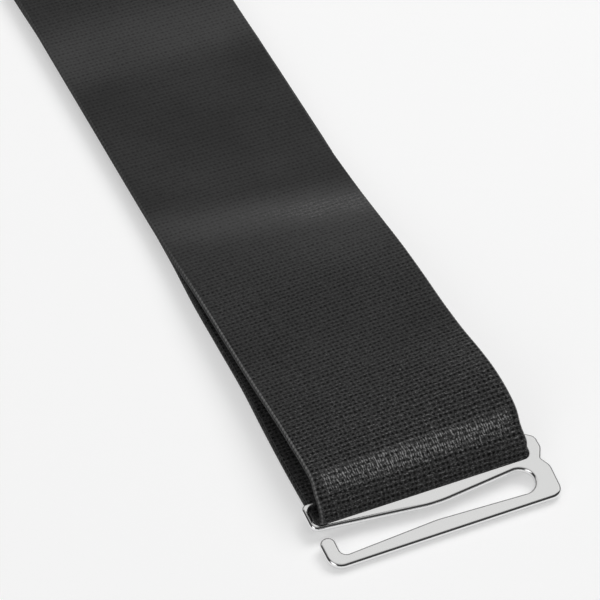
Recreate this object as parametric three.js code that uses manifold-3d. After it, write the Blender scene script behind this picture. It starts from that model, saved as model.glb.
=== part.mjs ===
// Shirt stay: a doubled band of wide woven elastic with a flat metal hook in its front loop.
// Millimetres. +X across the band, +Y along it away from the hook, +Z up, lying on z = 0.
import * as THREE from "three";
import { mergeVertices } from "three/addons/utils/BufferGeometryUtils.js";
import Module from "manifold-3d";

const wasm = await Module();
wasm.setup();

// Elastic band
const bandWidth = 40;
const bandThickness = 1.5;
const bandLength = 192; // from the front fold to the far end of the eye
const layerGap = 0.3; // between the two layers where they lie on each other
const selvedgeBevel = 0.3;
const foldInnerRadius = 0.4; // inside the front fold
const loopLength = 90; // the front stretch where the layers stand apart
const loopHeight = 10.6; // top of the loop at its higher, right edge
const upperShift = 0.9; // the upper layer lies this far right of the hook's middle
const foldShift = 0.35; // the front fold lies this far right, clear of the band slot's end
const foldEaseLength = 5; // from the fold to where the upper layer has its own shift
const layerSkew = 2.4; // how far the lower layer drifts to the right at most
const eyeLength = 22; // from the last seam to the far end
const eyeHeight = 9;
const endGap = 1; // between the two cut ends under the upper layer
const seamInset = 2.6; // from a cut end to its row of stitching
const seamLength = 1.2;
const seamSideInset = 2; // from the band's sides to the ends of a seam

// Metal hook, measured from its straight front edge back to its rear bar
const hookThickness = 1.5;
const hookEdgeRadius = 0.42;
const slotLeftRoom = 1.05; // from the band's half width to the band slot's left end
const slotRightRoom = 0.75;
const slotFrontRoom = 0.75; // from the band slot's front edge to the fold
const slotRearRoom = 1.59; // from the fold's inside to the rear bar
const rearBarRoom = 0.55; // between the rear bar and the layer that runs under it
const rearBarWidth = 1.1; // at its left end
const leftBarWidth = 1.05;
const cheekWidth = 2.9; // the plate's right side, beside the band slot
const cheekLean = 0.3; // the cheek is this much narrower at the front
const earReach = 0.1; // the rounded ear stands this much beyond the cheek
const earRise = 0.65; // and this much behind the rear bar
const neckDepth = 1; // the waist between the cheek and the ear
const neckInset = 1.05; // from the band slot's front edge forward to the waist
const catchBarWidth = 3.4; // the front bar at its widest, in the middle
const catchBarRootWidth = 2.55;
const catchBarTipWidth = 2.3;
const catchGap = 3.05; // the open slot at its narrowest
const middleBarWidth = 3.25;
const middleBarRootWidth = 1.55;
const middleBarTipWidth = 0.75;
const tipWidth = 2.95;
const tipHeight = 6.8; // from the front edge to the top of the curled tip
const catchEndInset = 4.1; // from the plate's right side to the open slot's round end
const bulgeMiddle = 1.15; // where the middle bar is widest, right of the slot's middle
const bulgeLength = 3.1;
const tipCornerRadius = 2.8; // outside, below the curled tip
const cheekCornerRadius = 2.3;
const shoulderRadius = 2.5;
const earRadius = 1.8;
const rearCornerRadius = 1.2;
const elbowRadius = 1.5; // where the left bar turns into the middle bar
const slotCornerRadius = 1.1;
const catchEndRadius = 2.6;
const catchCornerRadius = 1.2; // inside, below the curled tip
const bendRadius = 18; // the shallow bends of the middle bar and the front bar

const flatTop = 2 * bandThickness + layerGap;
const foldRadius = bandThickness + foldInnerRadius;
const slotFront = catchBarWidth + catchGap + middleBarWidth;
const slotRear = slotFront + slotFrontRoom + bandThickness + slotRearRoom;
const slotLeftEnd = -bandWidth / 2 - slotLeftRoom;
const slotRightEnd = bandWidth / 2 + slotRightRoom;
const hookDepth = slotRear + rearBarWidth;
const hookTilt = Math.asin((bandThickness + rearBarRoom) / (slotRear - hookEdgeRadius));

// The upper layer over the loop: along is a share of loopLength, and the heights of its left and
// right edges are shares of the loop's rise above the flat stretch.
const loopSections = [
  { along: 0.003, left: 0.0, right: 0.0 },
  { along: 0.013, left: 0.22, right: 0.25 },
  { along: 0.037, left: 0.43, right: 0.5 },
  { along: 0.067, left: 0.55, right: 0.71 },
  { along: 0.11, left: 0.6, right: 0.9 },
  { along: 0.17, left: 0.59, right: 1.0 },
  { along: 0.235, left: 0.56, right: 0.96 },
  { along: 0.31, left: 0.48, right: 0.82 },
  { along: 0.4, left: 0.39, right: 0.7 },
  { along: 0.5, left: 0.33, right: 0.64 },
  { along: 0.6, left: 0.28, right: 0.54 },
  { along: 0.7, left: 0.2, right: 0.37 },
  { along: 0.8, left: 0.08, right: 0.2 },
  { along: 0.89, left: 0.02, right: 0.09 },
  { along: 1.0, left: 0.0, right: 0.0 },
];

// The lower layer's drift under the upper one: along is a share of bandLength, and the shift of
// its middle is a share of layerSkew.
const lowerDrift = [
  { along: 0.0, shift: -0.12 },
  { along: 0.08, shift: -0.1 },
  { along: 0.2, shift: 0.29 },
  { along: 0.3, shift: 0.37 },
  { along: 0.4, shift: 0.62 },
  { along: 0.53, shift: 1.0 },
  { along: 0.68, shift: 0.75 },
  { along: 0.85, shift: 0.45 },
  { along: 1.0, shift: 0.38 },
];

const ends = {
  seam: bandLength - eyeLength, // where the eye begins
  lower: bandLength - eyeLength - seamInset - endGap / 2,
  returned: bandLength - eyeLength - seamInset + endGap / 2,
};

// Eased reading of one column of a table at a place along it.
function readTable(table, along, column) {
  const last = table.findIndex((row) => row.along >= along);
  if (last <= 0) return table[last === 0 ? 0 : table.length - 1][column];
  const [before, after] = [table[last - 1], table[last]];
  const share = (along - before.along) / (after.along - before.along);
  return THREE.MathUtils.lerp(before[column], after[column], THREE.MathUtils.smoothstep(share, 0, 1));
}

// The band's outer face as one path of stations, from the cut end of the lower layer round the
// fold, back along the top and round the eye. Each station has a place along the band, the
// heights of its left and right edges, and the sideways shift of its middle.
function bandStations() {
  const stations = [];
  const add = (y, left, right, shift) => stations.push({ y, left, right, shift });
  const drift = (y) => readTable(lowerDrift, y / bandLength, "shift") * layerSkew;

  const lowerSteps = 14;
  for (let i = 0; i < lowerSteps; i++) {
    const y = THREE.MathUtils.lerp(ends.lower, foldRadius, i / lowerSteps);
    add(y, 0, 0, drift(y));
  }
  const foldSteps = 6;
  for (let i = 0; i <= foldSteps; i++) {
    const turn = (i / foldSteps) * (Math.PI / 2);
    const height = foldRadius * (1 - Math.cos(turn));
    const shift = THREE.MathUtils.lerp(drift(0), foldShift, i / foldSteps);
    add(foldRadius * (1 - Math.sin(turn)), height, height, shift);
  }
  const rise = loopHeight - flatTop;
  for (const { along, left, right } of loopSections) {
    const y = along * loopLength;
    const eased = THREE.MathUtils.smoothstep(y, foldRadius, foldRadius + foldEaseLength);
    const shift = THREE.MathUtils.lerp(foldShift, upperShift, eased);
    add(y, flatTop + left * rise, flatTop + right * rise, shift);
  }
  const flatSteps = 4;
  for (let i = 1; i <= flatSteps; i++) {
    add(THREE.MathUtils.lerp(loopLength, ends.seam, i / flatSteps), flatTop, flatTop, upperShift);
  }
  const eyeRadius = eyeHeight / 2;
  const eyeCentre = bandLength - eyeRadius;
  const eyeSteps = 6;
  for (let i = 1; i <= eyeSteps; i++) {
    const share = i / eyeSteps;
    const height = THREE.MathUtils.lerp(flatTop, eyeHeight, (1 - Math.cos(Math.PI * share)) / 2);
    add(THREE.MathUtils.lerp(ends.seam, eyeCentre, share), height, height, upperShift);
  }
  const turnSteps = 10;
  for (let i = 1; i <= turnSteps; i++) {
    const turn = (i / turnSteps) * Math.PI;
    const height = eyeRadius * (1 + Math.cos(turn));
    add(eyeCentre + eyeRadius * Math.sin(turn), height, height, upperShift);
  }
  const returnSteps = 3;
  for (let i = 1; i <= returnSteps; i++) {
    add(THREE.MathUtils.lerp(eyeCentre, ends.returned, i / returnSteps), 0, 0, upperShift);
  }
  return stations;
}

// A smooth curve along one edge of the outer face.
function edgeCurve(stations, side) {
  const points = stations.map((s) => new THREE.Vector3(s.shift, s.y, s[side]));
  return new THREE.CatmullRomCurve3(points, false, "centripetal");
}

// One cross-section of the band between its left and right edge curves, with bevelled selvedges.
function bandSection(leftCurve, rightCurve, t) {
  const ring = [];
  const corner = (curve, side, inset, depth) => {
    const edge = curve.getPoint(t);
    const run = curve.getTangent(t).setX(0).normalize();
    const inward = new THREE.Vector3(0, run.z, -run.y);
    const x = edge.x + side * (bandWidth / 2 - inset);
    const point = new THREE.Vector3(x, edge.y, Math.max(0, edge.z)).addScaledVector(inward, depth);
    ring.push(point);
  };
  const b = selvedgeBevel;
  corner(leftCurve, -1, b, 0);
  corner(rightCurve, 1, b, 0);
  corner(rightCurve, 1, 0, b);
  corner(rightCurve, 1, 0, bandThickness - b);
  corner(rightCurve, 1, b, bandThickness);
  corner(leftCurve, -1, b, bandThickness);
  corner(leftCurve, -1, 0, bandThickness - b);
  corner(leftCurve, -1, 0, b);
  return ring;
}

// A closed body through a row of rings that have the same number of points.
function loftRings(rings) {
  const count = rings[0].length;
  const positions = rings.flatMap((ring) => ring.flatMap((p) => [p.x, p.y, p.z]));
  const index = [];
  for (let i = 0; i + 1 < rings.length; i++) {
    for (let j = 0; j < count; j++) {
      const [a, b] = [i * count + j, i * count + ((j + 1) % count)];
      index.push(a, b, a + count, b, b + count, a + count);
    }
  }
  const lastRing = (rings.length - 1) * count;
  for (let j = 1; j + 1 < count; j++) {
    index.push(0, j + 1, j);
    index.push(lastRing, lastRing + j, lastRing + j + 1);
  }
  const geometry = new THREE.BufferGeometry();
  geometry.setAttribute("position", new THREE.Float32BufferAttribute(positions, 3));
  geometry.setIndex(index);
  return geometry;
}

function toSolid(geometry) {
  const bare = geometry.clone();
  bare.deleteAttribute("normal");
  bare.deleteAttribute("uv");
  const merged = mergeVertices(bare, 1e-4);
  return new wasm.Manifold(
    new wasm.Mesh({
      numProp: 3,
      vertProperties: new Float32Array(merged.attributes.position.array),
      triVerts: new Uint32Array(merged.index.array),
    }),
  );
}

function toGeometry(solid) {
  const mesh = solid.getMesh();
  const geometry = new THREE.BufferGeometry();
  geometry.setAttribute("position", new THREE.BufferAttribute(new Float32Array(mesh.vertProperties), 3));
  geometry.setIndex(new THREE.BufferAttribute(new Uint32Array(mesh.triVerts), 1));
  return geometry;
}

// A sewn row: it ties a lower layer to the upper one right across the band.
function seamBlock(y) {
  const overlap = bandThickness / 3;
  const block = new THREE.BoxGeometry(bandWidth - 2 * seamSideInset, seamLength, layerGap + 2 * overlap);
  block.translate(upperShift, y, bandThickness + layerGap / 2);
  return block;
}

function elasticBand() {
  const stations = bandStations();
  const leftCurve = edgeCurve(stations, "left");
  const rightCurve = edgeCurve(stations, "right");
  const stepsPerStation = 2;
  const steps = (stations.length - 1) * stepsPerStation;
  const rings = Array.from({ length: steps + 1 }, (_, i) => bandSection(leftCurve, rightCurve, i / steps));
  const band = toSolid(loftRings(rings))
    .add(toSolid(seamBlock(ends.lower - seamInset)))
    .add(toSolid(seamBlock(ends.returned + seamInset)));
  const material = new THREE.MeshStandardMaterial({ color: 0x2c2c2e, roughness: 0.9, metalness: 0 });
  const mesh = new THREE.Mesh(toGeometry(band), material);
  mesh.name = "elastic_band";
  return mesh;
}

// Draws a closed outline whose corners are rounded with true arcs.
function roundedOutline(path, corners) {
  corners.forEach(({ across, back, radius }, i) => {
    const here = new THREE.Vector2(across, back);
    const before = corners[(i + corners.length - 1) % corners.length];
    const after = corners[(i + 1) % corners.length];
    const arriving = here.clone().sub(new THREE.Vector2(before.across, before.back)).normalize();
    const leaving = new THREE.Vector2(after.across, after.back).sub(here).normalize();
    const turn = Math.atan2(arriving.cross(leaving), arriving.dot(leaving));
    const reach = radius * Math.tan(Math.abs(turn) / 2);
    const start = here.clone().addScaledVector(arriving, -reach);
    const sideways = new THREE.Vector2(-arriving.y, arriving.x);
    const centre = start.clone().addScaledVector(sideways, Math.sign(turn) * radius);
    const startAngle = Math.atan2(start.y - centre.y, start.x - centre.x);
    if (i === 0) path.moveTo(start.x, start.y);
    path.absarc(centre.x, centre.y, radius, startAngle, startAngle + turn, turn < 0);
  });
  path.closePath();
  return path;
}

// The plate's outline with its open catch slot, anticlockwise from the front left corner.
function hookOutline() {
  const left = slotLeftEnd - leftBarWidth;
  const right = slotRightEnd + cheekWidth;
  const catchEnd = right - catchEndInset;
  const neckBack = slotFront - neckInset;
  const earFront = neckBack + 2.15 * neckDepth;
  const earTop = hookDepth + earRise;
  const bulgeFront = slotFront - middleBarWidth;
  const bulgeLeft = bulgeMiddle - bulgeLength / 2;
  const tipRadius = 0.48 * tipWidth;
  return [
    { across: left, back: 0, radius: tipCornerRadius },
    { across: right - cheekLean, back: 0, radius: cheekCornerRadius },
    { across: right, back: neckBack - 2 * neckDepth, radius: shoulderRadius },
    { across: right - neckDepth, back: neckBack, radius: hookEdgeRadius },
    { across: right + earReach, back: earFront, radius: earRadius },
    { across: right + earReach / 2, back: earTop - earRadius, radius: earRadius },
    { across: slotRightEnd + earRise / 2, back: earTop, radius: earRadius },
    { across: left, back: hookDepth, radius: rearCornerRadius },
    { across: left, back: slotFront - middleBarTipWidth, radius: elbowRadius },
    { across: bulgeLeft, back: bulgeFront, radius: bendRadius },
    { across: bulgeLeft + bulgeLength, back: bulgeFront, radius: bendRadius },
    { across: catchEnd, back: slotFront - middleBarRootWidth, radius: catchEndRadius },
    { across: catchEnd, back: catchBarRootWidth, radius: catchEndRadius },
    { across: bulgeLeft, back: catchBarWidth, radius: bendRadius },
    { across: left + tipWidth, back: catchBarTipWidth, radius: catchCornerRadius },
    { across: left + tipWidth, back: tipHeight, radius: tipRadius },
    { across: left, back: tipHeight, radius: tipRadius },
  ];
}

// The closed slot that the band runs through, clockwise, as a hole in the plate.
function bandSlot() {
  return [
    { across: slotLeftEnd, back: slotFront, radius: slotCornerRadius },
    { across: slotLeftEnd, back: slotRear, radius: slotCornerRadius },
    { across: slotRightEnd, back: slotRear, radius: slotCornerRadius },
    { across: slotRightEnd, back: slotFront, radius: slotCornerRadius },
  ];
}

function metalHook() {
  const plate = roundedOutline(new THREE.Shape(), hookOutline());
  plate.holes.push(roundedOutline(new THREE.Path(), bandSlot()));
  const geometry = new THREE.ExtrudeGeometry(plate, {
    depth: hookThickness - 2 * hookEdgeRadius,
    bevelThickness: hookEdgeRadius,
    bevelSize: hookEdgeRadius,
    bevelOffset: -hookEdgeRadius,
    bevelSegments: 2,
    curveSegments: 3,
  });
  geometry.translate(0, 0, hookEdgeRadius - hookThickness);
  const material = new THREE.MeshStandardMaterial({ color: 0xd9d9db, roughness: 0.2, metalness: 1 });
  const mesh = new THREE.Mesh(toGeometry(toSolid(geometry)), material);
  mesh.name = "metal_hook";
  mesh.rotation.x = hookTilt;
  const [sine, cosine] = [Math.sin(hookTilt), Math.cos(hookTilt)];
  const frontTopHeight = hookThickness * cosine + hookEdgeRadius * (1 - cosine - sine);
  mesh.position.set(0, -slotFrontRoom - slotFront * cosine, frontTopHeight);
  return mesh;
}

// The stay stands with the middle of its base at the origin.
const shirtStay = new THREE.Group();
shirtStay.add(elasticBand(), metalHook());
const box = new THREE.Box3().setFromObject(shirtStay, true);
const middle = box.getCenter(new THREE.Vector3());
shirtStay.position.set(-middle.x, -middle.y, -box.min.z);

export default shirtStay;
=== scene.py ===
# Shirt stay: a doubled band of wide black elastic and its flat nickel hook, on a pale floor.
import math

import bmesh
import bpy
import numpy as np
from mathutils import Matrix, Vector


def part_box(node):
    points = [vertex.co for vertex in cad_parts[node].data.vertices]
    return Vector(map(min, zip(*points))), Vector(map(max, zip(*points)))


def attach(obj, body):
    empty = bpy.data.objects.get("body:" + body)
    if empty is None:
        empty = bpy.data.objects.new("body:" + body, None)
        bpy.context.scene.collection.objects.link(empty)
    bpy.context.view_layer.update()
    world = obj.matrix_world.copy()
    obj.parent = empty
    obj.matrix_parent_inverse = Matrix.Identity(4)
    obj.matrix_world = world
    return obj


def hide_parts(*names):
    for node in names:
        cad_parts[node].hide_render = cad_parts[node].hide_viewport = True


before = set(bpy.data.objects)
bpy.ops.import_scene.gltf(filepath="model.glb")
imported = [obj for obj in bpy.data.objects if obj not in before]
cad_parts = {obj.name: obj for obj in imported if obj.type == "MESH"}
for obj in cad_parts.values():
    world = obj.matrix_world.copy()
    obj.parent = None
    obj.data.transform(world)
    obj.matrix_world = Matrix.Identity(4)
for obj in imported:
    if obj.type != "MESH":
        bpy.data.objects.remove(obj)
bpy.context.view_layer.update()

mm = 0.001
scene = bpy.context.scene


# Node helpers, shared by the materials and the Geometry Nodes

class Wire:
    # a node's output, so that maths on it reads as plain Python
    def __init__(self, graph, socket):
        self.graph = graph
        self.socket = socket

    def maths(self, operation, *values):
        inputs = dict(enumerate(values))
        return self.graph.node("ShaderNodeMath", {"operation": operation}, inputs)

    def __add__(self, other):
        return self.maths("ADD", self, other)

    def __radd__(self, other):
        return self.maths("ADD", other, self)

    def __sub__(self, other):
        return self.maths("SUBTRACT", self, other)

    def __rsub__(self, other):
        return self.maths("SUBTRACT", other, self)

    def __mul__(self, other):
        return self.maths("MULTIPLY", self, other)

    def __rmul__(self, other):
        return self.maths("MULTIPLY", other, self)

    def __truediv__(self, other):
        return self.maths("DIVIDE", self, other)

    def __rtruediv__(self, other):
        return self.maths("DIVIDE", other, self)

    def __pow__(self, other):
        return self.maths("POWER", self, other)

    def __abs__(self):
        return self.maths("ABSOLUTE", self)

    def floor(self):
        return self.maths("FLOOR", self)

    def cosine(self):
        return self.maths("COSINE", self)

    def atMost(self, other):
        return self.maths("MINIMUM", self, other)

    def clipped(self):  # held between 0 and 1
        return self.maths("MAXIMUM", self, 0).atMost(1)

    def rise(self, low, high):  # 0 below low, 1 above high, eased between them
        return self.graph.node("ShaderNodeMapRange", {"interpolation_type": "SMOOTHSTEP"},
                               {"Value": self, "From Min": low, "From Max": high})

    def fall(self, low, high):  # 1 below low, 0 above high
        return 1 - self.rise(low, high)

    def wave(self):  # 1 at whole numbers, 0 half way between them
        return (self * (2 * math.pi)).cosine() * 0.5 + 0.5

    def swing(self, amount):  # a noise of 0 to 1, made to go as far below 0 as above
        return (self - 0.5) * amount


class Graph:
    # a node tree and the one way that nodes are added to it
    def __init__(self, tree):
        self.tree = tree

    def node(self, kind, settings=None, inputs=None, output=0):
        made = self.tree.nodes.new(kind)
        for name, value in (settings or {}).items():
            if name == "stops":
                self.setStops(made.color_ramp, value)
            else:
                setattr(made, name, value)
        for name, value in (inputs or {}).items():
            if isinstance(value, Wire):
                self.tree.links.new(value.socket, made.inputs[name])
            else:
                made.inputs[name].default_value = value
        return Wire(self, made.outputs[output])

    def setStops(self, ramp, stops):
        while len(ramp.elements) < len(stops):
            ramp.elements.new(0.5)
        for element, (place, shade) in zip(ramp.elements, stops):
            element.position = place
            element.color = grey(shade)

    def parts(self, vector):  # the three numbers of a vector
        first = self.node("ShaderNodeSeparateXYZ", None, {0: vector})
        return [Wire(self, socket) for socket in first.socket.node.outputs]

    def vector(self, x, y, z):
        return self.node("ShaderNodeCombineXYZ", None, {0: x, 1: y, 2: z})

    def noise(self, place, scale=1.0, detail=2.0, roughness=0.5):
        return self.node("ShaderNodeTexNoise", None, {
            "Vector": place, "Scale": scale, "Detail": detail, "Roughness": roughness})

    def stretchedNoise(self, places, scales, detail=2.0, roughness=0.5):
        # noise with its own scale in each direction
        place = self.vector(*(wire * scale for wire, scale in zip(places, scales)))
        return self.noise(place, 1.0, detail, roughness)

    def mixColour(self, share, first, second):
        return self.node("ShaderNodeMix", {"data_type": "RGBA"},
                         {0: share, 6: first, 7: second}, output=2)

    def bump(self, strength, distance, height):
        return self.node("ShaderNodeBump", None,
                         {"Strength": strength, "Distance": distance * mm, "Height": height})


def grey(shade):  # a screen grey of 0 to 255, or three of them, as a linear colour
    values = shade if isinstance(shade, tuple) else (shade,) * 3
    linear = [((v / 255 + 0.055) / 1.055) ** 2.4 if v > 10 else v / 255 / 12.92 for v in values]
    return (*linear, 1)


def newMaterial(name, settings):
    # a material with one Principled shader, and its fixed values set on the shader's own sockets
    material = bpy.data.materials.new(name)
    material.use_nodes = True
    shader = material.node_tree.nodes["Principled BSDF"]
    for socket, value in settings.items():
        shader.inputs[socket].default_value = value
    return material, Graph(material.node_tree), shader


def feed(graph, shader, **wires):
    for name, wire in wires.items():
        graph.tree.links.new(wire.socket, shader.inputs[name.replace("_", " ")])


def newNodeGroup(name, numbers):
    # a Geometry Nodes group with a geometry input and named numbers
    tree = bpy.data.node_groups.new(name, "GeometryNodeTree")
    tree.interface.new_socket("Geometry", in_out="INPUT", socket_type="NodeSocketGeometry")
    for label, value in numbers.items():
        kind = "NodeSocketInt" if isinstance(value, int) else "NodeSocketFloat"
        socket = tree.interface.new_socket(label, in_out="INPUT", socket_type=kind)
        socket.default_value = value
    tree.interface.new_socket("Geometry", in_out="OUTPUT", socket_type="NodeSocketGeometry")
    graph = Graph(tree)
    entry = tree.nodes.new("NodeGroupInput")
    return graph, {socket.name: Wire(graph, socket) for socket in entry.outputs if socket.name}


def closeNodeGroup(graph, geometry, material):
    real = graph.node("GeometryNodeRealizeInstances", None, {"Geometry": geometry})
    dressed = graph.node("GeometryNodeSetMaterial", None, {"Geometry": real, "Material": material})
    leave = graph.tree.nodes.new("NodeGroupOutput")
    graph.tree.links.new(dressed.socket, leave.inputs[0])


def addModifier(piece, graph, numbers):
    modifier = piece.modifiers.new(graph.tree.name, "NODES")
    modifier.node_group = graph.tree
    for item in graph.tree.interface.items_tree:
        if item.in_out == "INPUT" and item.name in numbers:
            modifier[item.identifier] = numbers[item.name]


def newObject(name, data):
    piece = bpy.data.objects.new(name, data)
    scene.collection.objects.link(piece)
    return piece


def plainMesh(piece, material):
    # the evaluated result as an ordinary mesh, with no modifier left on it
    bpy.context.view_layer.update()
    evaluated = piece.evaluated_get(bpy.context.evaluated_depsgraph_get())
    mesh = bpy.data.meshes.new_from_object(evaluated)
    piece.modifiers.clear()
    if piece.type != "MESH":
        name = piece.name
        bpy.data.objects.remove(piece)
        piece = newObject(name, mesh)
    piece.data = mesh
    mesh.materials.clear()
    mesh.materials.append(material)
    return piece


def faceOutwards(mesh, mergeWithin=0):
    # every face of a closed shape points out, after doubles closer than mergeWithin are merged
    tidy = bmesh.new()
    tidy.from_mesh(mesh)
    if mergeWithin:
        bmesh.ops.remove_doubles(tidy, verts=tidy.verts, dist=mergeWithin)
    bmesh.ops.recalc_face_normals(tidy, faces=tidy.faces)
    tidy.to_mesh(mesh)
    tidy.free()


# Woven band: the same path as the model's band, in millimetres from the front fold
bandSizes = {
    "width": 40, "thickness": 1.56, "length": 192, "flatTop": 3.3, "foldRadius": 1.9,
    "loopLength": 90, "loopHeight": 10.6, "upperShift": 0.9, "foldShift": 0.35, "foldEase": 5,
    "layerSkew": 2.4, "eyeLength": 22, "eyeHeight": 9, "endGap": 0.12, "seamInset": 2.6,
    # the right edge's spread round the fold, and where along the band each part comes and goes
    "foldSpread": 0.38, "foldIn": (-4, 0),
    "shoulderSpread": 0.6, "shoulderIn": (1.7, 3.2), "shoulderOut": (8, 32),
    "cornerSpread": 0.38, "cornerIn": (-3, -1), "cornerOut": (2, 7),
    # the slot's end holds the edge, except under and above the plate
    "slotEnd": 20.69, "slotRoom": 0.9, "plateUnder": (-1.8, -0.9), "plateTop": (0.8, 1.8),
    "selvedgeRound": 0.5, "selvedgeTurns": (22, 50, 90, 130, 158),
    # seam stitches: rows behind the seam, margin at the sides, heights on top and underneath
    "seamRows": (-5.7, 0.5), "seamMargin": 2.2, "stitchSunk": 0.02, "stitchUnder": 0.12,
    # fineness of the mesh, and of the path's parts from the lower cut end to the upper one
    "ribPitch": 0.945, "rowsPerRib": 4, "outerColumns": 26, "innerColumns": 12, "pathFineness": 40,
    "lowerSteps": 14, "foldSteps": 6, "flatSteps": 4, "riseSteps": 6, "eyeSteps": 10,
    "returnSteps": 3,
}

loopSections = [  # share of loopLength, heights of the left and right edges
    (0.003, 0.0, 0.0), (0.013, 0.22, 0.25), (0.037, 0.43, 0.5), (0.067, 0.55, 0.71),
    (0.11, 0.6, 0.9), (0.17, 0.59, 1.0), (0.235, 0.56, 0.96), (0.31, 0.48, 0.82),
    (0.4, 0.39, 0.7), (0.5, 0.33, 0.64), (0.6, 0.28, 0.54), (0.7, 0.2, 0.37),
    (0.8, 0.08, 0.2), (0.89, 0.02, 0.09), (1.0, 0.0, 0.0),
]

lowerDrift = [  # share of length, sideways shift of the lower layer
    (0.0, -0.12), (0.08, -0.1), (0.2, 0.29), (0.3, 0.37), (0.4, 0.62),
    (0.53, 1.0), (0.68, 0.75), (0.85, 0.45), (1.0, 0.38),
]


def eased(place, low, high):
    share = np.clip((place - low) / (high - low), 0, 1)
    return share * share * (3 - 2 * share)


def easedTable(table, place):
    for (low, before), (high, after) in zip(table, table[1:]):
        if place <= high:
            return before + (after - before) * eased(place, low, high)
    return table[-1][1]


def lowerShift(s, y):
    return easedTable(lowerDrift, y / s["length"]) * s["layerSkew"]


def bandStations(s):
    # the outer face from the lower cut end round the fold, over the top and round the eye:
    # place along, heights of the left and right edges, sideways shift
    fold, top, side = s["foldRadius"], s["flatTop"], s["upperShift"]
    seam = s["length"] - s["eyeLength"]
    stations = []

    lowerEnd = seam - s["seamInset"] - s["endGap"] / 2
    for i in range(s["lowerSteps"]):
        y = lowerEnd + (fold - lowerEnd) * i / s["lowerSteps"]
        stations.append((y, 0, 0, lowerShift(s, y)))

    for i in range(s["foldSteps"] + 1):
        turn = i / s["foldSteps"] * math.pi / 2
        height = fold * (1 - math.cos(turn))
        shift = lowerShift(s, 0) + (s["foldShift"] - lowerShift(s, 0)) * i / s["foldSteps"]
        stations.append((fold * (1 - math.sin(turn)), height, height, shift))

    rise = s["loopHeight"] - top
    for along, left, right in loopSections:
        y = along * s["loopLength"]
        shift = s["foldShift"] + (side - s["foldShift"]) * eased(y, fold, fold + s["foldEase"])
        stations.append((y, top + left * rise, top + right * rise, shift))

    for i in range(1, s["flatSteps"] + 1):
        y = s["loopLength"] + (seam - s["loopLength"]) * i / s["flatSteps"]
        stations.append((y, top, top, side))

    radius = s["eyeHeight"] / 2
    centre = s["length"] - radius
    for i in range(1, s["riseSteps"] + 1):
        share = (1 - math.cos(math.pi * i / s["riseSteps"])) / 2
        height = top + (s["eyeHeight"] - top) * share
        stations.append((seam + (centre - seam) * i / s["riseSteps"], height, height, side))

    for i in range(1, s["eyeSteps"] + 1):
        turn = i / s["eyeSteps"] * math.pi
        height = radius * (1 + math.cos(turn))
        stations.append((centre + radius * math.sin(turn), height, height, side))

    upperEnd = seam - s["seamInset"] + s["endGap"] / 2
    for i in range(1, s["returnSteps"] + 1):
        stations.append((centre + (upperEnd - centre) * i / s["returnSteps"], 0, 0, side))
    return stations


def smoothPath(points, places):
    # a centripetal curve through the points, read at places counted in points
    points = np.array(points, float)
    padded = np.vstack([2 * points[0] - points[1], points, 2 * points[-1] - points[-2]])
    index = np.clip(places.astype(int), 0, len(points) - 2)
    t = (places - index)[:, None]
    p0, p1, p2, p3 = (padded[index + k] for k in range(4))
    d0, d1, d2 = (np.linalg.norm(b - a, axis=1)[:, None] ** 0.5
                  for a, b in ((p0, p1), (p1, p2), (p2, p3)))
    leave = ((p1 - p0) / d0 - (p2 - p0) / (d0 + d1) + (p2 - p1) / d1) * d1
    arrive = ((p2 - p1) / d1 - (p3 - p1) / (d1 + d2) + (p3 - p2) / d2) * d1
    squared = 3 * (p2 - p1) - 2 * leave - arrive
    cubed = 2 * (p1 - p2) + leave + arrive
    place = p1 + leave * t + squared * t ** 2 + cubed * t ** 3
    direction = leave + 2 * squared * t + 3 * cubed * t ** 2
    return place, direction


def bandProfile(s):
    # one cross-section: place across, depth under the outer face, a flat coordinate for the
    # weave, and 0 on the outer face to 1 on the inner one
    half, edge, deep = s["width"] / 2, s["selvedgeRound"], s["thickness"]
    turns = np.radians(s["selvedgeTurns"])
    side = [(half - edge + edge * math.sin(a), deep / 2 * (1 - math.cos(a))) for a in turns]
    outer = [(u, 0.0, u, 0.0) for u in np.linspace(edge - half, half - edge, s["outerColumns"])]
    right = [(across, depth, half + depth, depth / deep) for across, depth in side]
    inner = [(u, deep, u, 1.0) for u in np.linspace(half - edge, edge - half, s["innerColumns"])]
    left = [(-across, depth, -half - depth, depth / deep) for across, depth in reversed(side)]
    return np.array(outer + right + inner + left)


def rightSpread(s, fromFold):
    # the right edge fills the slot's end, and spreads a little where it leaves the slot
    spread = (s["foldSpread"] * eased(fromFold, *s["foldIn"])
              + (s["shoulderSpread"] - s["foldSpread"]) * eased(fromFold, *s["shoulderIn"]))
    spread = spread * (1 - eased(fromFold, *s["shoulderOut"]))
    corner = eased(fromFold, *s["cornerIn"]) * (1 - eased(fromFold, *s["cornerOut"]))
    free = eased(fromFold, *s["plateTop"]) + 1 - eased(fromFold, *s["plateUnder"])
    return spread + s["cornerSpread"] * corner, s["slotEnd"] + s["slotRoom"] * free


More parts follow.
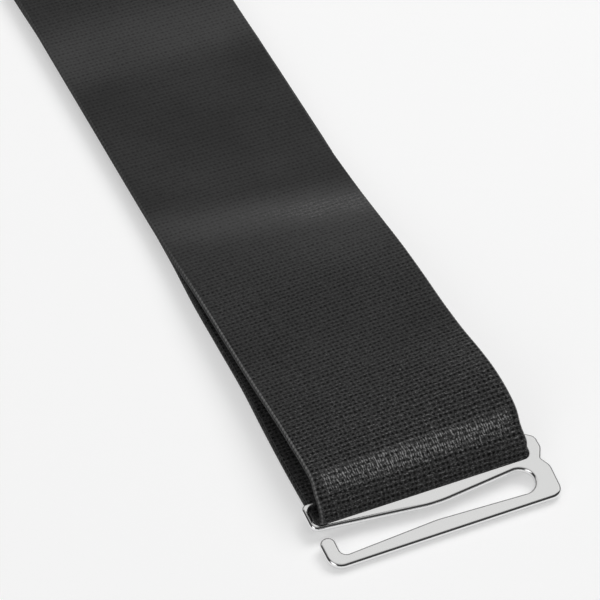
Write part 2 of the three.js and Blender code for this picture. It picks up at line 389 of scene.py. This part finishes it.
def weaveBand(s, origin):
    stations = bandStations(s)
    left = [(shift, y, low) for y, low, high, shift in stations]
    right = [(shift, y, high) for y, low, high, shift in stations]
    fine = np.linspace(0, len(stations) - 1, s["pathFineness"] * len(stations))
    middle = (smoothPath(left, fine)[0] + smoothPath(right, fine)[0]) / 2
    run = np.concatenate([[0], np.cumsum(np.linalg.norm(np.diff(middle, axis=0), axis=1))])
    rows = int(run[-1] / s["ribPitch"] * s["rowsPerRib"]) + 1
    along = np.linspace(0, run[-1], rows)
    places = np.interp(along, run, fine)
    frontFold = np.interp(s["lowerSteps"] + s["foldSteps"], fine, run)

    edges = []
    for points in (left, right):
        place, direction = smoothPath(points, places)
        place[:, 2] = np.maximum(place[:, 2], 0)
        direction[:, 0] = 0
        direction /= np.linalg.norm(direction, axis=1)[:, None]
        edges.append((place, np.stack([0 * along, direction[:, 2], -direction[:, 1]], axis=1)))

    profile = bandProfile(s)
    share = (profile[:, 0] / s["width"] + 0.5)[None, :, None]
    surface = edges[0][0][:, None] * (1 - share) + edges[1][0][:, None] * share
    inward = edges[0][1][:, None] * (1 - share) + edges[1][1][:, None] * share
    inward /= np.linalg.norm(inward, axis=2)[:, :, None]
    spread, room = rightSpread(s, along - frontFold)
    surface[:, :, 0] += profile[None, :, 0]
    surface[:, :, 0] += spread[:, None] * eased(profile[None, :, 0], 0, s["width"] / 2)
    surface[:, :, 0] = np.minimum(surface[:, :, 0], room[:, None])
    points = surface + inward * profile[None, :, 1, None]

    count = len(profile)
    column = np.arange(count)[None, :]
    firstOfRow = np.arange(rows - 1)[:, None] * count
    here = (firstOfRow + column).ravel()
    beside = (firstOfRow + (column + 1) % count).ravel()
    faces = np.stack([here, beside, beside + count, here + count], axis=1).tolist()
    faces.append(list(range(count))[::-1])  # the lower cut end
    faces.append([(rows - 1) * count + j for j in range(count)])  # the upper cut end
    mesh = bpy.data.meshes.new("wovenBand")
    mesh.from_pydata((points.reshape(-1, 3) * mm + np.array(origin)).tolist(), [], faces)
    weave = np.zeros((rows, count, 3), np.float32)
    weave[:, :, 0] = profile[:, 2]
    weave[:, :, 1] = along[:, None]
    weave[:, :, 2] = profile[:, 3]
    mesh.attributes.new("weave", "FLOAT_VECTOR", "POINT").data.foreach_set("vector", weave.ravel())
    mesh.polygons.foreach_set("use_smooth", [True] * (len(faces) - 2) + [False] * 2)
    faceOutwards(mesh)
    return mesh, run[-1], frontFold


# Relief of the ribs, as Geometry Nodes on the band
ribSettings = {"Rib Pitch": bandSizes["ribPitch"], "Rib Depth": 0.03, "Unevenness": 0.3,
               "Sway Across": 0.22, "Sway Along": 0.5, "Seed": 7}


def ribNodes(material):
    graph, given = newNodeGroup("ribRelief", ribSettings)
    weave = graph.node("GeometryNodeInputNamedAttribute", {"data_type": "FLOAT_VECTOR"},
                       {"Name": "weave"})
    across, along, face = graph.parts(weave)
    place = graph.vector(across * given["Sway Across"], along * given["Sway Along"],
                         face * 5 + given["Seed"])
    sway = graph.noise(place, 1.0, 1.0)
    turns = along / given["Rib Pitch"] + sway.swing(given["Unevenness"]) + face * 0.5
    valley = 1 - turns.wave()
    normal = graph.node("GeometryNodeInputNormal")
    sunk = graph.node("ShaderNodeVectorMath", {"operation": "SCALE"},
                      {0: normal, "Scale": valley * given["Rib Depth"] * -mm})
    moved = graph.node("GeometryNodeSetPosition", None,
                       {"Geometry": given["Geometry"], "Offset": sunk})
    closeNodeGroup(graph, moved, material)
    return graph


# Black elastic cloth: shades are screen greys, places are millimetres across the band or from
# the fold, scales are across, along and from face to face, and the other numbers are shares
clothLook = {
    "roughness": 0.68, "gloss": 0.12, "sheen": 0.03, "sheenRoughness": 0.45, "bump": 0.6,
    "tones": [(0.0, 2), (0.25, 17), (0.5, 46), (0.75, 74), (1.0, 150)], "ground": 0.536,
    "driftScale": (0.35, 0.5, 9), "slowScale": (0.05, 0.06, 3), "lintScale": (2.9, 3.4, 4),
    "yarnScale": (0.8, 6.5, 6), "patchScale": (0.7, 3.7, 2), "patches": (0.2, 0.6),
    "slow": 0.15, "lint": 1.4, "yarn": 0.75, "yarnLean": 0.375,
    # ground weave
    "ribSway": 0.6, "rib": 0.06, "pit": 0.65, "pitLength": 1.5, "pitWidth": 1.4,
    "allRows": 0.65, "everyOtherRow": 0.4,
    "warpPitch": 0.926, "warpSway": 0.8, "rowShift": 0.03, "rowStagger": 0.14,
    "fineShift": 0.41, "fineSway": 1.2, "fineShare": 0.18,
    "contrast": 0.85, "pastFold": (0.5, 6), "foldContrast": 0.25,
    "farSoft": (8, 45), "farContrast": 0.5, "smoothContrast": 0.36, "bentContrast": 0.3,
    # painted highlight where the band bends over the hook: bright leaning flecks on the warp
    # floats
    "dashFrom": 5.4, "dashTo": 9.8, "dashBlur": 1.5, "dashRagged": 3, "dashMargin": (3, 1),
    "dashLean": 0.15, "dashWidth": 0.27, "dashLength": 0.75, "dashPitch": 0.463,
    "dashSway": 2.5, "dashShown": (0.34, 0.62), "combed": 0.75, "dashEven": 0.25,
    "dashSlow": 0.6, "dashLint": 0.7, "dash": 0.56, "dashGround": 0.015,
    # paler places: painted light on the fold's front, the near part, and painted highlights behind
    # the crease and further on
    "foldPaintedLight": 0.155, "nearPale": 0.022, "nearEnd": (25, 42),
    "crease": 78.3, "creaseSlant": 0.22, "creaseWide": (-28, -6), "creaseSharp": (-9, -1),
    "creaseEnd": (0, 9), "creaseWideShare": 0.38, "creaseHighlight": 0.2, "creaseRight": 0.19,
    "creaseMost": 0.215, "smoothIn": (-30, 0),
    "farHighlight": 134, "farHighlightIn": (-13, -2), "farHighlightOut": (2, 15), "farHighlightLost": 0.85,
    "farHighlightPale": 0.12,
    # bright line of the selvedge, measured from the band's edge: a paler thread, with painted
    # highlight on the top of the rounded edge
    "selvedge": 130, "threadIn": (-0.25, -0.1), "threadOut": (0.2, 0.4), "threadSmoothed": 0.8,
    "beadGround": -0.28, "bead": 0.5, "beadLint": 1.2,
    # heights for the bump, and changes of the roughness
    "ribHeight": 0.3, "pitHeight": 0.8, "lintHeight": 0.35, "dashHeight": 0.7,
    "threadHeight": 0.4, "lintRoughness": 0.2, "threadShine": 0.15, "dashShine": 0.12,
}


def clothMaterial(look, sizes, frontFold):
    material, graph, shader = newMaterial("blackElastic", {
        "Roughness": look["roughness"], "Specular IOR Level": look["gloss"],
        "Sheen Weight": look["sheen"], "Sheen Roughness": look["sheenRoughness"],
    })
    weave = graph.node("ShaderNodeAttribute", {"attribute_name": "weave"}, output=1)
    across, along, face = graph.parts(weave)
    fromFold = along - frontFold
    outer = face.fall(0.1, 0.5)
    sideways = abs(across)
    half = sizes["width"] / 2

    # unevenness: of a few ribs, of whole stretches, of loose lint and of single yarns
    drift = graph.stretchedNoise((across, along, face), look["driftScale"])
    slow = graph.stretchedNoise((across, along, face), look["slowScale"])
    lint = graph.stretchedNoise((across, along, face), look["lintScale"], 3.0, 0.7)
    leaned = across + along * look["yarnLean"]
    yarn = graph.stretchedNoise((leaned, along, face), look["yarnScale"])

    # the ground weave: ribs across the band, with dark pits between them in rows and columns
    turns = along / sizes["ribPitch"] + face * 0.5 + drift.swing(look["ribSway"])
    row = (turns + 0.5).floor()
    everyOther = ((turns + 0.5) * 0.5).wave()
    rib = turns.wave()
    warp = (across / look["warpPitch"] + row * look["rowShift"] + everyOther * look["rowStagger"]
            + drift.swing(look["warpSway"])).wave()
    fineWarp = (across / look["warpPitch"] * 2 + row * look["fineShift"]
                + drift.swing(look["fineSway"])).wave()
    columns = warp ** look["pitWidth"] + fineWarp ** look["pitWidth"] * look["fineShare"]
    patchy = graph.stretchedNoise((across, row, face), look["patchScale"]).rise(*look["patches"])
    pit = ((1 - rib) ** look["pitLength"] * columns * patchy
           * (look["allRows"] + everyOther * look["everyOtherRow"]))

    # painted highlight where the band bends over the hook: bright leaning flecks on the warp
    # floats, with their own bump and less roughness
    ragged = fromFold + lint.swing(look["dashRagged"])
    blur = look["dashBlur"]
    farMargin, nearMargin = look["dashMargin"]
    bendHighlight = (ragged.rise(look["dashFrom"] - blur, look["dashFrom"] + blur)
            * ragged.fall(look["dashTo"] - blur, look["dashTo"] + blur) * outer
            * sideways.fall(half - farMargin, half - nearMargin))
    leaning = across + along * look["dashLean"]
    streak = graph.noise(graph.vector(leaning / look["dashWidth"], along * look["dashLength"], 3),
                         1.0, 1.0)
    comb = (leaning / look["dashPitch"] + drift.swing(look["dashSway"])).wave()
    dash = (streak.rise(*look["dashShown"]) * (comb * look["combed"] + (1 - look["combed"]))
            * (look["dashEven"] + slow * look["dashSlow"] + lint * look["dashLint"]))

    # painted highlight where the loop comes down to its crease, brighter towards the right
    pastCrease = fromFold - look["crease"] + across * look["creaseSlant"]
    wideShare = look["creaseWideShare"]
    crease = (pastCrease.rise(*look["creaseWide"]) * wideShare
              + pastCrease.rise(*look["creaseSharp"]) * (1 - wideShare))
    crease = crease * pastCrease.fall(*look["creaseEnd"]) * outer
    creaseHighlight = across / sizes["width"] * look["creaseRight"] + look["creaseHighlight"]
    # painted highlight further on: a broad paler band across the flat part, fading beyond it
    pastFarHighlight = fromFold - look["farHighlight"]
    farHighlight = (pastFarHighlight.rise(*look["farHighlightIn"])
                 * (1 - pastFarHighlight.rise(*look["farHighlightOut"]) * look["farHighlightLost"]) * outer)
    smooth = pastCrease.rise(*look["smoothIn"]) * outer
    # painted light: the fold's steep front gets less light, so its outer face is painted paler
    pastFold = fromFold.rise(*look["pastFold"])
    pale = (crease * creaseHighlight.atMost(look["creaseMost"]) + farHighlight * look["farHighlightPale"]
            + (1 - pastFold) * outer * look["foldPaintedLight"]
            + fromFold.fall(*look["nearEnd"]) * look["nearPale"] + slow.swing(look["slow"]))

    contrast = (look["contrast"] + pastFold * look["foldContrast"]
                - fromFold.rise(*look["farSoft"]) * look["farContrast"]
                - smooth * look["smoothContrast"] - bendHighlight * look["bentContrast"])
    texture = (rib * look["rib"] - pit * look["pit"] + lint.swing(look["lint"])
               + yarn.swing(look["yarn"]))
    tone = texture * contrast + look["ground"] + pale + bendHighlight * (dash * look["dash"]
                                                                - look["dashGround"])
    cloth = graph.node("ShaderNodeValToRGB", {"stops": look["tones"]}, {"Fac": tone.clipped()})

    # bright beaded line along both selvedges: a paler thread, with painted highlight where it runs
    # over the top of the rounded edge
    pastEdge = sideways - half
    thread = (pastEdge.rise(*look["threadIn"]) * pastEdge.fall(*look["threadOut"])
              * (1 - smooth * look["threadSmoothed"]))
    beads = (look["beadGround"] + (along / sizes["ribPitch"]).wave() * look["bead"]
             + lint * look["beadLint"])
    colour = graph.mixColour(thread * beads.clipped(), cloth, grey(look["selvedge"]))

    height = ((rib * look["ribHeight"] - pit * look["pitHeight"] + lint.swing(look["lintHeight"]))
              * contrast + bendHighlight * dash * look["dashHeight"])
    height = height * (1 - thread) + thread * look["threadHeight"]
    rough = (look["roughness"] + lint.swing(look["lintRoughness"])
             - thread * look["threadShine"] - bendHighlight * look["dashShine"])
    feed(graph, shader, Base_Color=colour, Roughness=rough,
         Normal=graph.bump(look["bump"], 0.1, height))
    return material


# Seam stitches of the eye, as Geometry Nodes on two rows of line
stitchSettings = {"Stitch Pitch": 2.6 * mm, "Stitch Length": 2.1 * mm, "Thread Radius": 0.19 * mm,
                  "Crown": 2.0, "Sunk Ends": -1.4, "Lean": 0.09, "Seed": 4}
threadLook = {"dark": 22, "pale": 66, "roughness": 0.5, "gloss": 0.4, "twist": (3800, 2600),
              "fluff": 2400.0, "bump": 0.4}


def stitchNodes(material):
    graph, given = newNodeGroup("seamStitches", stitchSettings)
    line = graph.node("GeometryNodeMeshToCurve", None, {"Mesh": given["Geometry"]})
    dots = graph.node("GeometryNodeCurveToPoints", {"mode": "LENGTH"},
                      {"Curve": line, "Length": given["Stitch Pitch"]})
    half = given["Stitch Length"] / 2
    ends = given["Thread Radius"] * given["Sunk Ends"]
    crown = given["Thread Radius"] * given["Crown"]
    arch = graph.node("GeometryNodeCurveQuadraticBezier", None, {
        "Resolution": 8, "Start": graph.vector(half * -1, 0, ends),
        "Middle": graph.vector(0, 0, crown), "End": graph.vector(half, 0, ends)})
    ring = graph.node("GeometryNodeCurvePrimitiveCircle", None,
                      {"Resolution": 8, "Radius": given["Thread Radius"]})
    stitch = graph.node("GeometryNodeCurveToMesh", None,
                        {"Curve": arch, "Profile Curve": ring, "Fill Caps": True})
    lean = graph.node("FunctionNodeRandomValue", {"data_type": "FLOAT"},
                      {2: given["Lean"] * -1, 3: given["Lean"], "Seed": given["Seed"]}, output=1)
    side = graph.node("GeometryNodeInputNamedAttribute", {"data_type": "FLOAT"}, {"Name": "side"})
    turned = graph.node("FunctionNodeEulerToRotation", None, {0: graph.vector(side, 0, lean)})
    placed = graph.node("GeometryNodeInstanceOnPoints", None,
                        {"Points": dots, "Instance": stitch, "Rotation": turned})
    closeNodeGroup(graph, placed, material)
    return graph


def stitchLines(s, origin):
    # two rows on top of the band and two underneath, which are turned over
    half = s["width"] / 2 - s["seamMargin"]
    seam = s["length"] - s["eyeLength"]
    points, edges, sides = [], [], []
    for row in s["seamRows"]:
        for height, side in ((s["flatTop"] - s["stitchSunk"], 0.0), (s["stitchUnder"], math.pi)):
            for end in (-half, half):
                points.append((s["upperShift"] + end, seam + row, height))
                sides.append(side)
            edges.append((len(points) - 2, len(points) - 1))
    mesh = bpy.data.meshes.new("seamStitches")
    mesh.from_pydata([[v * mm + o for v, o in zip(p, origin)] for p in points], edges, [])
    mesh.attributes.new("side", "FLOAT", "POINT").data.foreach_set("value", sides)
    return mesh


def threadMaterial(look):
    material, graph, shader = newMaterial("stitchThread", {
        "Roughness": look["roughness"], "Specular IOR Level": look["gloss"]})
    place = graph.node("ShaderNodeTexCoord", output=3)
    x, y, z = graph.parts(place)
    twist = (x * look["twist"][0] + y * look["twist"][1]).wave()
    fluff = graph.noise(place, look["fluff"])
    colour = graph.mixColour(twist * 0.6 + fluff * 0.4, grey(look["dark"]), grey(look["pale"]))
    feed(graph, shader, Base_Color=colour, Normal=graph.bump(look["bump"], 0.05, twist))
    return material


# Metal hook: one stamped plate with rounded edges, in millimetres. Across counts as on the band,
# and back counts from the plate's front edge.
hookSizes = {
    "thickness": 1.5, "edgeRadius": 0.6, "seatRadius": 0.42,
    "left": -22.1, "right": 23.65, "depth": 14.64, "tilt": 8.99, "frontRoom": 0.75,
    "slotLeft": -21.05, "slotRight": 20.75, "slotFront": 9.7, "slotRear": 13.54, "slotCorner": 1.1,
    "cheekLean": 0.3, "waist": 8.65, "earRise": 0.65,
    "cornerSteps": 14, "edgeSteps": 4, "mergeWithin": 0.004, "faceMargin": 0.01,
}


def hookCorners(s):
    # place across, place back and radius of each corner, anticlockwise from the front left
    left, right, waist = s["left"], s["right"], s["waist"]
    earTop = s["depth"] + s["earRise"]
    return [
        (left, 0, 2.8),  # bend before the tip
        (right - s["cheekLean"], 0, 2.3),  # front right corner
        (right, waist - 2, 2.5),
        (right - 1, waist, 0.42),  # waist of the cheek
        (right + 0.1, waist + 2.15, 1.8),  # ear
        (right + 0.05, earTop - 1.8, 1.8),
        (s["slotRight"] + s["earRise"] / 2, earTop, 1.8),
        (left, s["depth"], 1.2),  # rear left corner
        (left, 8.95, 1.5),  # left end of the middle bar
        (-0.4, 6.45, 18),  # its slow bend
        (2.7, 6.45, 18),
        (right - 4.1, 8.15, 2.6),  # round end of the open slot
        (right - 4.1, 2.55, 2.6),
        (-0.4, 3.4, 18),  # taper of the front bar
        (left + 2.95, 2.3, 1.2),  # inside of the bend
        (left + 2.95, 6.8, 1.416),  # rounded tip
        (left, 6.8, 1.416),
    ]


def slotCorners(s):
    left, right, front, rear = s["slotLeft"], s["slotRight"], s["slotFront"], s["slotRear"]
    places = ((left, front), (left, rear), (right, rear), (right, front))
    return [(x, y, s["slotCorner"]) for x, y in places]


def roundedLine(corners, steps):
    # a closed line through the corners, each rounded with a true arc
    line = []
    for i, (x, y, radius) in enumerate(corners):
        here = Vector((x, y))
        before = Vector(corners[i - 1][:2])
        after = Vector(corners[(i + 1) % len(corners)][:2])
        arriving = (here - before).normalized()
        leaving = (after - here).normalized()
        turn = math.atan2(arriving.cross(leaving), arriving.dot(leaving))
        start = here - arriving * radius * math.tan(abs(turn) / 2)
        sideways = Vector((-arriving.y, arriving.x)) * math.copysign(radius, turn)
        centre = start + sideways
        for k in range(steps + 1):
            line.append(centre - Matrix.Rotation(turn * k / steps, 2) @ sideways)
    return line


def stampHook(s, origin, material):
    outline = bpy.data.curves.new("nickelHook", "CURVE")
    outline.dimensions = "2D"
    outline.fill_mode = "BOTH"
    outline.extrude = (s["thickness"] / 2 - s["edgeRadius"]) * mm
    outline.bevel_depth = s["edgeRadius"] * mm
    outline.bevel_resolution = s["edgeSteps"]
    outline.offset = -s["edgeRadius"] * mm
    for corners in (hookCorners(s), slotCorners(s)):
        line = roundedLine(corners, s["cornerSteps"])
        spline = outline.splines.new("POLY")
        spline.points.add(len(line) - 1)
        for point, (x, y) in zip(spline.points, line):
            point.co = (x * mm, y * mm, 0, 1)
        spline.use_cyclic_u = True
    plate = plainMesh(newObject("nickelHook", outline), material)
    mesh = plate.data
    faceOutwards(mesh, s["mergeWithin"] * mm)
    mesh.polygons.foreach_set("use_smooth", [True] * len(mesh.polygons))

    # the flat faces keep straight normals, so that only the rim looks rounded
    faceHeight = (s["thickness"] / 2 - s["faceMargin"]) * mm
    normals = []
    for vertex in mesh.vertices:
        height = vertex.co.z
        straight = Vector((0, 0, math.copysign(1, height)))
        normals.append(straight if abs(height) > faceHeight else vertex.normal.copy())
    rim = [1 - abs(normal.z) for normal in normals]
    mesh.attributes.new("rim", "FLOAT", "POINT").data.foreach_set("value", rim)

    # the plate leans back on the band's lower layer, with its front edge on the floor
    tilt = math.radians(s["tilt"])
    turn = Matrix.Rotation(tilt, 4, "X")
    topHeight = (s["thickness"] * math.cos(tilt)
                 + s["seatRadius"] * (1 - math.cos(tilt) - math.sin(tilt)))
    front = -s["frontRoom"] - s["slotFront"] * math.cos(tilt)
    move = Matrix.Translation(Vector(origin) + Vector((0, front, topHeight)) * mm)
    mesh.transform(move @ turn @ Matrix.Translation((0, 0, -s["thickness"] / 2 * mm)))
    mesh.normals_split_custom_set_from_vertices([turn.to_3x3() @ normal for normal in normals])
    return plate


# Bright nickel plate: shades are screen greys, rim goes from 0 on a face to 1 on its side
nickelLook = {
    "dark": 198, "pale": (209, 209, 208), "rim": 236, "rimPale": (0.03, 0.3),
    "roughness": 0.24, "rimRoughness": 0.08, "rimPolish": (0.01, 0.15),
    "grainScale": 3200.0, "cloudScale": 170.0, "rubScale": (260, 1500, 900),
    "cloudRoughness": 0.08, "grainRoughness": 0.05, "bump": 0.04,
}


def nickelMaterial(look):
    material, graph, shader = newMaterial("brightNickel", {"Metallic": 1.0})
    place = graph.node("ShaderNodeTexCoord", output=3)
    rim = graph.node("ShaderNodeAttribute", {"attribute_name": "rim"}, output=2)
    grain = graph.noise(place, look["grainScale"], 3.0, 0.6)
    rubbed = graph.stretchedNoise(graph.parts(place), look["rubScale"])
    cloudy = graph.noise(place, look["cloudScale"])
    face = graph.mixColour(grain * 0.5 + cloudy * 0.5, grey(look["dark"]), grey(look["pale"]))
    colour = graph.mixColour(rim.rise(*look["rimPale"]), face, grey(look["rim"]))
    polish = rim.rise(*look["rimPolish"]) * (look["roughness"] - look["rimRoughness"])
    rough = (look["roughness"] + cloudy.swing(look["cloudRoughness"])
             + grain.swing(look["grainRoughness"]) - polish)
    feed(graph, shader, Base_Color=colour, Roughness=rough,
         Normal=graph.bump(look["bump"], 0.02, grain * 0.6 + rubbed * 0.4))
    return material


hookBox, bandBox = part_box("metal_hook"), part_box("elastic_band")
origin = (hookBox[0].x - hookSizes["left"] * mm, bandBox[0].y, 0.0)

bandMesh, cutLength, frontFold = weaveBand(bandSizes, origin)
cloth = clothMaterial(clothLook, bandSizes, frontFold)
band = newObject("wovenBand", bandMesh)
addModifier(band, ribNodes(cloth), ribSettings)
band = plainMesh(band, cloth)
print(f"band: {len(band.data.polygons)} faces, cut {cutLength:.1f} mm long")

thread = threadMaterial(threadLook)
stitches = newObject("seamStitches", stitchLines(bandSizes, origin))
addModifier(stitches, stitchNodes(thread), stitchSettings)
stitches = plainMesh(stitches, thread)
print(f"stitches: {len(stitches.data.polygons)} faces")

hook = stampHook(hookSizes, origin, nickelMaterial(nickelLook))
print(f"hook: {len(hook.data.polygons)} faces")

for piece, node, slot in ((band, "elastic_band", "black_elastic"),
                          (hook, "metal_hook", "bright_nickel")):
    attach(piece, "root")
    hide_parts(node)
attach(stitches, "root")


# Floor and light: the room's light goes by direction, each from -1 to 1, and front is the side
# that the picture is taken from
studio = {
    "floor": 202, "floorDark": 200, "floorRoughness": 0.6, "floorGloss": 0.3, "floorGlow": 0.43,
    "floorSize": 6.0, "floorDrop": 0.02 * mm, "mottleScale": 9.0,
    "keyPower": 11.0, "keySize": 0.9, "keyPlace": (0.9, 0.5, 1.1),
    "room": 0.055, "box": 1.05, "haze": 0.75, "card": 1.5,
    "boxHeight": (0.42, 0.65), "boxFront": (-0.28, -0.08), "boxLeftLoss": 0.35,
    "hazeHeight": (0.87, 0.95),
    "cardNear": (0.25, 0.4), "cardFar": (0.7, 0.82), "cardFront": (0.25, 0.4),
    "cardBottom": (0.05, 0.2), "cardTop": (0.75, 0.85),
}
cameraSettings = {"place": (-0.2153, -0.5268, 0.5345), "pitch": 45.05, "yaw": -23.62,
                  "lens": 242.16, "sensor": 36}


def layFloor(s):
    material, graph, shader = newMaterial("paleFloor", {
        "Roughness": s["floorRoughness"], "Specular IOR Level": s["floorGloss"],
        "Emission Color": (1, 1, 1, 1), "Emission Strength": s["floorGlow"]})
    place = graph.node("ShaderNodeTexCoord", output=3)
    mottle = graph.noise(place, s["mottleScale"])
    feed(graph, shader,
         Base_Color=graph.mixColour(mottle, grey(s["floorDark"]), grey(s["floor"])))
    reach, height = s["floorSize"] / 2, -s["floorDrop"]
    corners = [(-reach, -reach, height), (reach, -reach, height),
               (reach, reach, height), (-reach, reach, height)]
    mesh = bpy.data.meshes.new("floor")
    mesh.from_pydata(corners, [], [(0, 1, 2, 3)])
    mesh.materials.append(material)
    return newObject("floor", mesh)


def hangKeyLight(s):
    light = bpy.data.lights.new("keyLight", "AREA")
    light.energy = s["keyPower"]
    light.size = s["keySize"]
    lamp = newObject("keyLight", light)
    lamp.location = s["keyPlace"]
    lamp.rotation_euler = (-Vector(s["keyPlace"])).to_track_quat("-Z", "Y").to_euler()
    lamp.visible_glossy = False  # the polished edges show only the room


def lightRoom(s, yaw):
    # a wide soft box above and behind, haze overhead, a white card at the front left, dark walls
    world = bpy.data.worlds.new("softRoom")
    world.use_nodes = True
    scene.world = world
    sky = Graph(world.node_tree)
    x, y, height = sky.parts(sky.node("ShaderNodeTexCoord", output=0))
    front = x * math.sin(yaw) - y * math.cos(yaw)
    leftward = x * -math.cos(yaw) - y * math.sin(yaw)
    behind = height.rise(*s["boxHeight"]) * front.fall(*s["boxFront"])
    box = behind * (1 - leftward * s["boxLeftLoss"])
    haze = height.rise(*s["hazeHeight"]) * (1 - behind)
    card = (leftward.rise(*s["cardNear"]) * leftward.fall(*s["cardFar"])
            * front.rise(*s["cardFront"])
            * height.rise(*s["cardBottom"]) * height.fall(*s["cardTop"]))
    strength = s["room"] + box * s["box"] + haze * s["haze"] + card * s["card"]
    background = world.node_tree.nodes["Background"]
    background.inputs["Color"].default_value = (1, 1, 1, 1)
    world.node_tree.links.new(strength.socket, background.inputs["Strength"])


def placeCamera(s):
    lens = bpy.data.cameras.new("camera")
    lens.lens = s["lens"]
    lens.sensor_width = s["sensor"]
    camera = newObject("camera", lens)
    camera.location = s["place"]
    camera.rotation_euler = (math.radians(s["pitch"]), 0, math.radians(s["yaw"]))
    return camera


floor = layFloor(studio)
hangKeyLight(studio)
lightRoom(studio, math.radians(cameraSettings["yaw"]))
scene.camera = placeCamera(cameraSettings)
scene.view_settings.view_transform = "Standard"
print("floor, lights and camera are ready")
